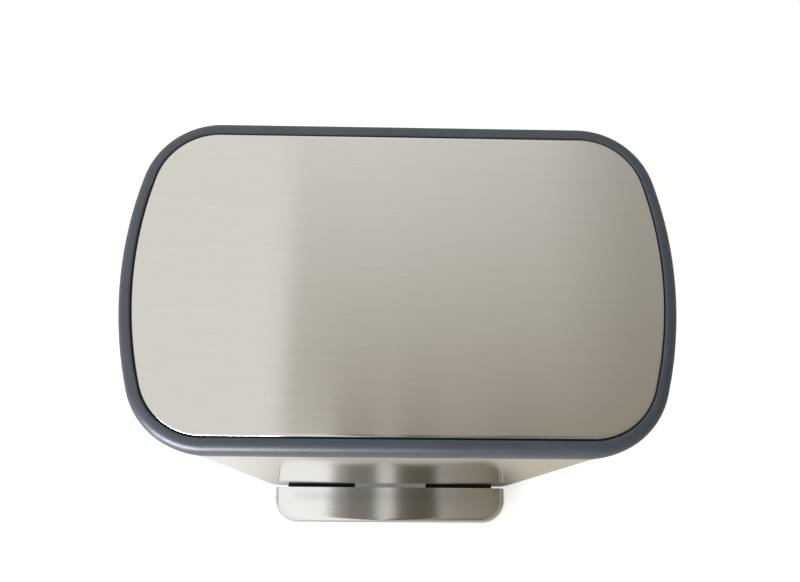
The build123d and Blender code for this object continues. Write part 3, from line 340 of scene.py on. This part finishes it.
def cut_along(mesh, point, normal):
    """Add edges where a plane crosses the mesh, so that it can bend there."""
    everything = mesh.verts[:] + mesh.edges[:] + mesh.faces[:]
    bmesh.ops.bisect_plane(mesh, geom=everything, plane_co=point, plane_no=normal)


def bulged_shell():
    low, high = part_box("outer_shell")
    height = high.z - low.z
    mesh = welded_copy("outer_shell")
    levels = int(height / LEVEL_STEP)
    for i in range(1, levels):
        cut_along(mesh, (0, 0, low.z + height * i / levels), (0, 0, 1))
    for i in range(-COLUMNS_EACH_SIDE, COLUMNS_EACH_SIDE + 1):
        cut_along(mesh, (i * COLUMN_STEP, 0, 0), (1, 0, 0))
    for vertex in mesh.verts:
        if vertex.co.y > FRONT_SIDE:
            continue
        up = 2 * (vertex.co.z - low.z) / height - 1
        across = min(abs(vertex.co.x) / FLAT_HALF_WIDTH, 1.0)
        vertex.co.y -= BULGE * (1 - up * up) * (1 - across * across) ** BULGE_POWER
    bmesh.ops.recalc_face_normals(mesh, faces=mesh.faces)
    wrap = smooth_piece("steel_wrap", mesh, "body_steel")
    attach(wrap, "bin_body")
    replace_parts(wrap, "outer_shell")


# ---- the lid's plan: bowed sides, round corners, straight front and back
SIDE_RADIUS = 0.300
CORNER_RADIUS = 0.050
SIDE_STEPS = 60
CORNER_STEPS = 40


def arc_points(centre, radius, start, end, count):
    """Points round a plan arc, in degrees, without its end point."""
    angles = (math.radians(start + (end - start) * i / count) for i in range(count))
    return [(centre[0] + radius * math.cos(a), centre[1] + radius * math.sin(a)) for a in angles]


def arc_centres(half_width, half_depth):
    """Where the lid's side arc and corner arc are centred, and the angle at which they join."""
    side_x = half_width - SIDE_RADIUS
    corner_y = half_depth - CORNER_RADIUS
    corner_x = side_x + math.sqrt((SIDE_RADIUS - CORNER_RADIUS) ** 2 - corner_y ** 2)
    return side_x, corner_x, corner_y, math.degrees(math.atan2(corner_y, corner_x - side_x))


def top_outline(half_width, half_depth, inset):
    """The outline of the lid's steel top, anticlockwise from the right."""
    side_x, corner_x, corner_y, turn = arc_centres(half_width, half_depth)
    side, corner = SIDE_RADIUS - inset, CORNER_RADIUS - inset
    points = arc_points((side_x, 0), side, -turn, turn, SIDE_STEPS)
    points += arc_points((corner_x, corner_y), corner, turn, 90, CORNER_STEPS)
    points += arc_points((-corner_x, corner_y), corner, 90, 180 - turn, CORNER_STEPS)
    points += arc_points((-side_x, 0), side, 180 - turn, 180 + turn, SIDE_STEPS)
    points += arc_points((-corner_x, -corner_y), corner, 180 + turn, 270, CORNER_STEPS)
    points += arc_points((corner_x, -corner_y), corner, 270, 360 - turn, CORNER_STEPS)
    return points


def outside_outline(x, y, half_width, half_depth):
    """How far a point lies outside the steel top's outline; a negative distance is inside."""
    side_x, corner_x, corner_y, turn = arc_centres(half_width, half_depth)
    x, y = abs(x), abs(y)
    if math.degrees(math.atan2(y, x - side_x)) < turn:
        return math.hypot(x - side_x, y) - SIDE_RADIUS
    if x > corner_x:
        return math.hypot(x - corner_x, y - corner_y) - CORNER_RADIUS
    return y - half_depth


# ---- the pressed steel top, finer than the CAD mesh along its rolled edge
SHEET = 0.0008
PRESS_RADIUS = 0.0013
PRESS_STEPS = 8


def pressed_top():
    low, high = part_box("lid_panel")
    middle = (low + high) / 2
    half_width, half_depth = (high.x - low.x) / 2, (high.y - low.y) / 2
    turns = [math.pi / 2 * i / PRESS_STEPS for i in range(PRESS_STEPS + 1)]
    inner = PRESS_RADIUS - SHEET / 2
    under = high.z - SHEET - inner
    over = high.z - PRESS_RADIUS
    # (inset, height) of the section: underside, inner bend, lower edge, outer bend, upper face
    section = [(2 * PRESS_RADIUS, high.z - SHEET)]
    section += [(SHEET + inner - inner * math.sin(a), under + inner * math.cos(a)) for a in turns]
    section += [(SHEET, low.z), (0.0, low.z)]
    section += [(PRESS_RADIUS - PRESS_RADIUS * math.cos(a), over + PRESS_RADIUS * math.sin(a)) for a in turns]
    section += [(2 * PRESS_RADIUS, high.z)]
    loops = []
    for inset, z in section:
        outline = top_outline(half_width, half_depth, inset)
        loops.append([(middle.x + x, middle.y + y, z) for x, y in outline])
    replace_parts(looped_piece("pressed_top", loops, "lid", "top_steel"), "lid_panel")


# ---- the rim's crown, flatter than the quarter ellipse of the CAD section, and rounder at its edge
RIM_GROOVE = 0.0013  # between the steel top and the crown
RIM_WIDTH = 0.0112
RIM_DROP = 0.018  # from the top of the crown to where it turns straight down
RIM_POWER = 3.0  # 2 would be the ellipse
ON_CROWN = 0.02  # how near the ellipse a point counts as part of the crown


def flat_crowned_rim():
    low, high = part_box("lid_panel")
    middle = (low + high) / 2
    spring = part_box("lid_rim")[1].z - RIM_DROP
    mesh = welded_copy("lid_rim")
    for vertex in mesh.verts:
        x, y, z = vertex.co
        out = outside_outline(x - middle.x, y - middle.y, high.x - middle.x, high.y - middle.y)
        u, v = (out - RIM_GROOVE) / RIM_WIDTH, (z - spring) / RIM_DROP
        if v > 0 and 0 < u < 1 and abs(math.hypot(u, v) - 1) < ON_CROWN:
            vertex.co.z = spring + RIM_DROP * (1 - u ** RIM_POWER) ** (1 / RIM_POWER)
    rim = smooth_piece("crowned_rim", mesh, "rim_plastic")
    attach(rim, "lid")
    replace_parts(rim, "lid_rim")


# ---- a black sill in front of the base, added as painted shade: it darkens the gap behind the pedal where shadow falls
SILL_REACH = 0.0036  # in front of the base
SILL_HALF_WIDTH = 0.1335
SILL_HEIGHTS = (0.0030, 0.0065)
SILL_ROUND = 0.0012
SILL_CORNER = 0.0022
SILL_STEPS = 8


def pedal_sill():
    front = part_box("base_ring")[0].y
    low, high = SILL_HEIGHTS
    section = ((SILL_ROUND, low), (0.0, low + SILL_ROUND), (0.0, high - SILL_ROUND), (SILL_ROUND, high))
    loops = []
    for inset, z in section:
        near, far = front - SILL_REACH + inset, front + SHEET
        x, y = SILL_HALF_WIDTH - SILL_CORNER, near + SILL_CORNER
        plan = arc_points((-x, y), SILL_CORNER - inset / 2, 180, 270, SILL_STEPS)
        plan += arc_points((x, y), SILL_CORNER - inset / 2, 270, 360, SILL_STEPS)
        plan += [(SILL_HALF_WIDTH, far), (-SILL_HALF_WIDTH, far)]
        loops.append([(px, py, z) for px, py in plan])
    # painted shade: this black piece stands in for the shadow in the gap behind the pedal
    looped_piece("pedal_sill", loops, "bin_body", "black_plastic")


# ---- floor: pale, white to the camera; steel mirrors it warmer, with a painted glow of window light on the left
FLOOR_REACH = 6.0
FLOOR = (0.62, 0.61, 0.60)
CAMERA_GLOW = 0.62
WHITE = (1, 1, 1)
MIRRORED_FLOOR = (0.66, 0.63, 0.55)
PAINTED_WINDOW_LIGHT = (0.22, 0.24, 0.32)
PAINTED_LIGHT_SIDE = (-0.22, -0.06)  # the painted window light is whole left of the first x, and gone right of the second


def floor_material():
    material = bpy.data.materials.new("floor")
    material.use_nodes = True
    tree = material.node_tree
    tree.nodes.clear()
    path = tree.nodes.new("ShaderNodeLightPath")
    mirrored = path.outputs["Is Glossy Ray"]
    matt = tree.nodes.new("ShaderNodeBsdfDiffuse")
    tree.links.new(mix_colours(tree, mirrored, FLOOR, MIRRORED_FLOOR), matt.inputs["Color"])
    place = tree.nodes.new("ShaderNodeSeparateXYZ")
    tree.links.new(object_coordinates(tree), place.inputs[0])
    # painted light: in reflections the floor glows bluish on its left, standing in for window light falling
    # there
    by_window = remap(tree, place.outputs["X"], 1, 0, *PAINTED_LIGHT_SIDE)
    painted_light_glow = math_node(tree, "MULTIPLY", mirrored, by_window)
    camera_glow = math_node(tree, "MULTIPLY", path.outputs["Is Camera Ray"], CAMERA_GLOW)
    glow = tree.nodes.new("ShaderNodeEmission")
    tree.links.new(mix_colours(tree, mirrored, WHITE, PAINTED_WINDOW_LIGHT), glow.inputs["Color"])
    tree.links.new(math_node(tree, "ADD", camera_glow, painted_light_glow), glow.inputs["Strength"])
    both = tree.nodes.new("ShaderNodeAddShader")
    tree.links.new(matt.outputs[0], both.inputs[0])
    tree.links.new(glow.outputs[0], both.inputs[1])
    output = tree.nodes.new("ShaderNodeOutputMaterial")
    tree.links.new(both.outputs[0], output.inputs[0])
    return material


def add_floor():
    mesh = bpy.data.meshes.new("floor")
    corners = [(x * FLOOR_REACH, y * FLOOR_REACH, 0) for x, y in ((-1, -1), (1, -1), (1, 1), (-1, 1))]
    mesh.from_pydata(corners, [], [(0, 1, 2, 3)])
    mesh.materials.append(floor_material())
    floor = bpy.data.objects.new("floor", mesh)
    scene.collection.objects.link(floor)


# ---- the room that the steel mirrors
# A direction is given by its rise, and by its x and y over that rise, as on a flat ceiling: across and ahead.
# Stops are (across or ahead, brightness, warmth).
LEAST_RISE = 0.12  # keeps across and ahead finite near the floor
WARM_GREEN = 0.08  # the share of green that a warmth of 1 takes away
WARM_BLUE = 0.28
# the ceiling, from the front wall to the back one
CEILING_SPAN = (0.0, 1.0)
CEILING = ((0.0, 0.46, 1.0), (0.10, 0.50, 1.0), (0.30, 0.79, 0.35), (0.55, 1.06, 0.0), (0.95, 1.08, 0.0))
# the ceiling's shade to the right; here a stop's brightness is the share of shade
RIGHT_SPAN = (0.0, 1.5)
RIGHT_SHADE = ((0.0, 0.04, 0.0), (0.21, 0.20, 0.0), (0.31, 0.60, 0.0), (0.45, 0.70, 0.0), (1.5, 0.60, 0.0))
SHADE = (0.30, 0.28, 0.22)
# what stands in front of the bin, such as door frames and doorways
FRONT_EDGE = 0.075
FRONT_SOFTNESS = 0.02
FRONT_SPAN = (-0.4, 0.4)
FRONT_BANDS = (
    (-0.064, 1.10, 0.0), (-0.050, 0.38, 0.2), (-0.034, 0.21, 0.4), (-0.010, 0.20, 0.5), (0.001, 0.66, 0.1),
    (0.012, 0.66, 0.1), (0.020, 0.18, 0.7), (0.034, 0.12, 1.0), (0.061, 0.10, 1.2), (0.070, 0.38, 0.4),
    (0.082, 0.32, 0.7), (0.125, 0.25, 1.2), (0.140, 0.15, 1.2), (0.300, 0.34, 1.0),
)
# the front gets lighter near the floor, and less so to the right
LOW_FRONT = (0.10, 0.55)
LOW_FRONT_SHARE = 0.50
LOW_FRONT_RIGHT = 0.45
LOW_FRONT_ACROSS = (0.0, 1.0)
LOW_FRONT_COLOUR = (0.62, 0.66, 0.72)
# the window, to the left of a slightly tilted edge
WINDOW_EDGE = -0.118
WINDOW_TILT = 0.020
WINDOW_SOFTNESS = 0.006
PANE = (1.02, 1.01, 0.99)
# the walls straight to the left and right are dark, except close to the floor
SIDEWAYS = (0.5, 1.0)
DARK_ABOVE = (0.10, 0.35)
LOW_LEFT = (-2.0, -1.3)
LOW_LEFT_COLOUR = (0.13, 0.13, 0.12)
LOW_RIGHT = (1.3, 2.0)
LOW_RIGHT_COLOUR = (0.06, 0.05, 0.04)


def ramp(tree, value, stops, low, high):
    """A colour ramp over value from low to high."""
    node = tree.nodes.new("ShaderNodeValToRGB")
    tree.links.new(remap(tree, value, 0, 1, low, high), node.inputs["Fac"])
    elements = node.color_ramp.elements
    while len(elements) < len(stops):
        elements.new(0.5)
    for element, (place, level, warmth) in zip(elements, stops):
        element.position = (place - low) / (high - low)
        element.color = (level, level * (1 - WARM_GREEN * warmth), level * (1 - WARM_BLUE * warmth), 1)
    return node.outputs["Color"]


def room_directions(tree):
    """Across, ahead and rise of the direction that is looked in."""
    source = tree.nodes.new("ShaderNodeTexCoord")
    split = tree.nodes.new("ShaderNodeSeparateXYZ")
    tree.links.new(source.outputs["Generated"], split.inputs[0])
    rise = split.outputs["Z"]
    height = math_node(tree, "MAXIMUM", rise, LEAST_RISE)
    across = math_node(tree, "DIVIDE", split.outputs["X"], height)
    ahead = math_node(tree, "DIVIDE", split.outputs["Y"], height)
    return across, ahead, rise


def front_colour(tree, across, rise):
    bands = ramp(tree, across, FRONT_BANDS, *FRONT_SPAN)
    near_floor = remap(tree, rise, LOW_FRONT_SHARE, 0, *LOW_FRONT)
    less_to_right = remap(tree, across, 1, LOW_FRONT_RIGHT, *LOW_FRONT_ACROSS)
    near_floor = math_node(tree, "MULTIPLY", near_floor, less_to_right)
    return mix_colours(tree, near_floor, bands, LOW_FRONT_COLOUR)


def room_colour(tree):
    across, ahead, rise = room_directions(tree)
    ceiling = ramp(tree, ahead, CEILING, *CEILING_SPAN)
    colour = mix_colours(tree, ramp(tree, across, RIGHT_SHADE, *RIGHT_SPAN), ceiling, SHADE)
    in_front = remap(tree, ahead, 1, 0, FRONT_EDGE - FRONT_SOFTNESS, FRONT_EDGE)
    colour = mix_colours(tree, in_front, colour, front_colour(tree, across, rise))
    tilted = math_node(tree, "SUBTRACT", across, math_node(tree, "MULTIPLY", ahead, WINDOW_TILT))
    by_window = remap(tree, tilted, 1, 0, WINDOW_EDGE - WINDOW_SOFTNESS, WINDOW_EDGE + WINDOW_SOFTNESS)
    colour = mix_colours(tree, by_window, colour, PANE)
    sideways = remap(tree, math_node(tree, "ABSOLUTE", ahead), 1, 0, *SIDEWAYS)
    dark = math_node(tree, "MULTIPLY", sideways, remap(tree, rise, 0, 1, *DARK_ABOVE))
    low_left = math_node(tree, "MULTIPLY", dark, remap(tree, across, 1, 0, *LOW_LEFT))
    low_right = math_node(tree, "MULTIPLY", dark, remap(tree, across, 0, 1, *LOW_RIGHT))
    colour = mix_colours(tree, low_left, colour, LOW_LEFT_COLOUR)
    return mix_colours(tree, low_right, colour, LOW_RIGHT_COLOUR)


def add_world():
    """White to the camera; to the object, a room with a window on the left and a darker front."""
    world = bpy.data.worlds.new("room")
    scene.world = world
    world.use_nodes = True
    tree = world.node_tree
    tree.nodes.clear()
    room = tree.nodes.new("ShaderNodeBackground")
    tree.links.new(room_colour(tree), room.inputs["Color"])
    white = tree.nodes.new("ShaderNodeBackground")
    white.inputs["Color"].default_value = (*WHITE, 1)
    path = tree.nodes.new("ShaderNodeLightPath")
    mix = tree.nodes.new("ShaderNodeMixShader")
    tree.links.new(path.outputs["Is Camera Ray"], mix.inputs[0])
    tree.links.new(room.outputs[0], mix.inputs[1])
    tree.links.new(white.outputs[0], mix.inputs[2])
    output = tree.nodes.new("ShaderNodeOutputWorld")
    tree.links.new(mix.outputs[0], output.inputs[0])


# ---- lamps: the window's soft light, and its glint in glossy surfaces; power is in watts
WINDOW_LAMP = dict(place=(-1.5, -1.3, 1.6), target=(-0.1, -0.3, 0.3), size=(1.8, 1.8), power=34)
GLINT_LAMP = dict(place=(-1.40, -2.2, 0.60), target=(-0.1, -0.1, 0.45), size=(2.2, 1.15), power=165)
GLINT_COLOUR = (0.92, 0.97, 1.06)
GLINT_ON = ("crowned_rim", "pressed_top")


def glint_receivers():
    """The pieces that show the glint; the steel body and pedal don't, so no patch of them burns out."""
    receivers = bpy.data.collections.new("glint_receivers")
    for name in GLINT_ON:
        receivers.objects.link(bpy.data.objects[name])
    return receivers


def area_light(name, place, target, size, power, glint=False):
    """A soft lamp; a glint shows in gloss alone, any other lamp in everything but gloss."""
    data = bpy.data.lights.new(name, "AREA")
    data.shape = "RECTANGLE"
    data.size, data.size_y = size
    data.energy = power
    data.color = GLINT_COLOUR if glint else WHITE
    light = bpy.data.objects.new(name, data)
    scene.collection.objects.link(light)
    light.location = place
    light.rotation_euler = (Vector(target) - Vector(place)).to_track_quat("-Z", "Y").to_euler()
    light.visible_glossy = glint
    light.visible_diffuse = not glint
    if glint:
        light.light_linking.receiver_collection = glint_receivers()


add_camera()
dress_nodes()
bulged_shell()
pressed_top()
flat_crowned_rim()
pedal_sill()
add_floor()
add_world()
area_light("window_left", **WINDOW_LAMP)
area_light("window_glint", **GLINT_LAMP, glint=True)
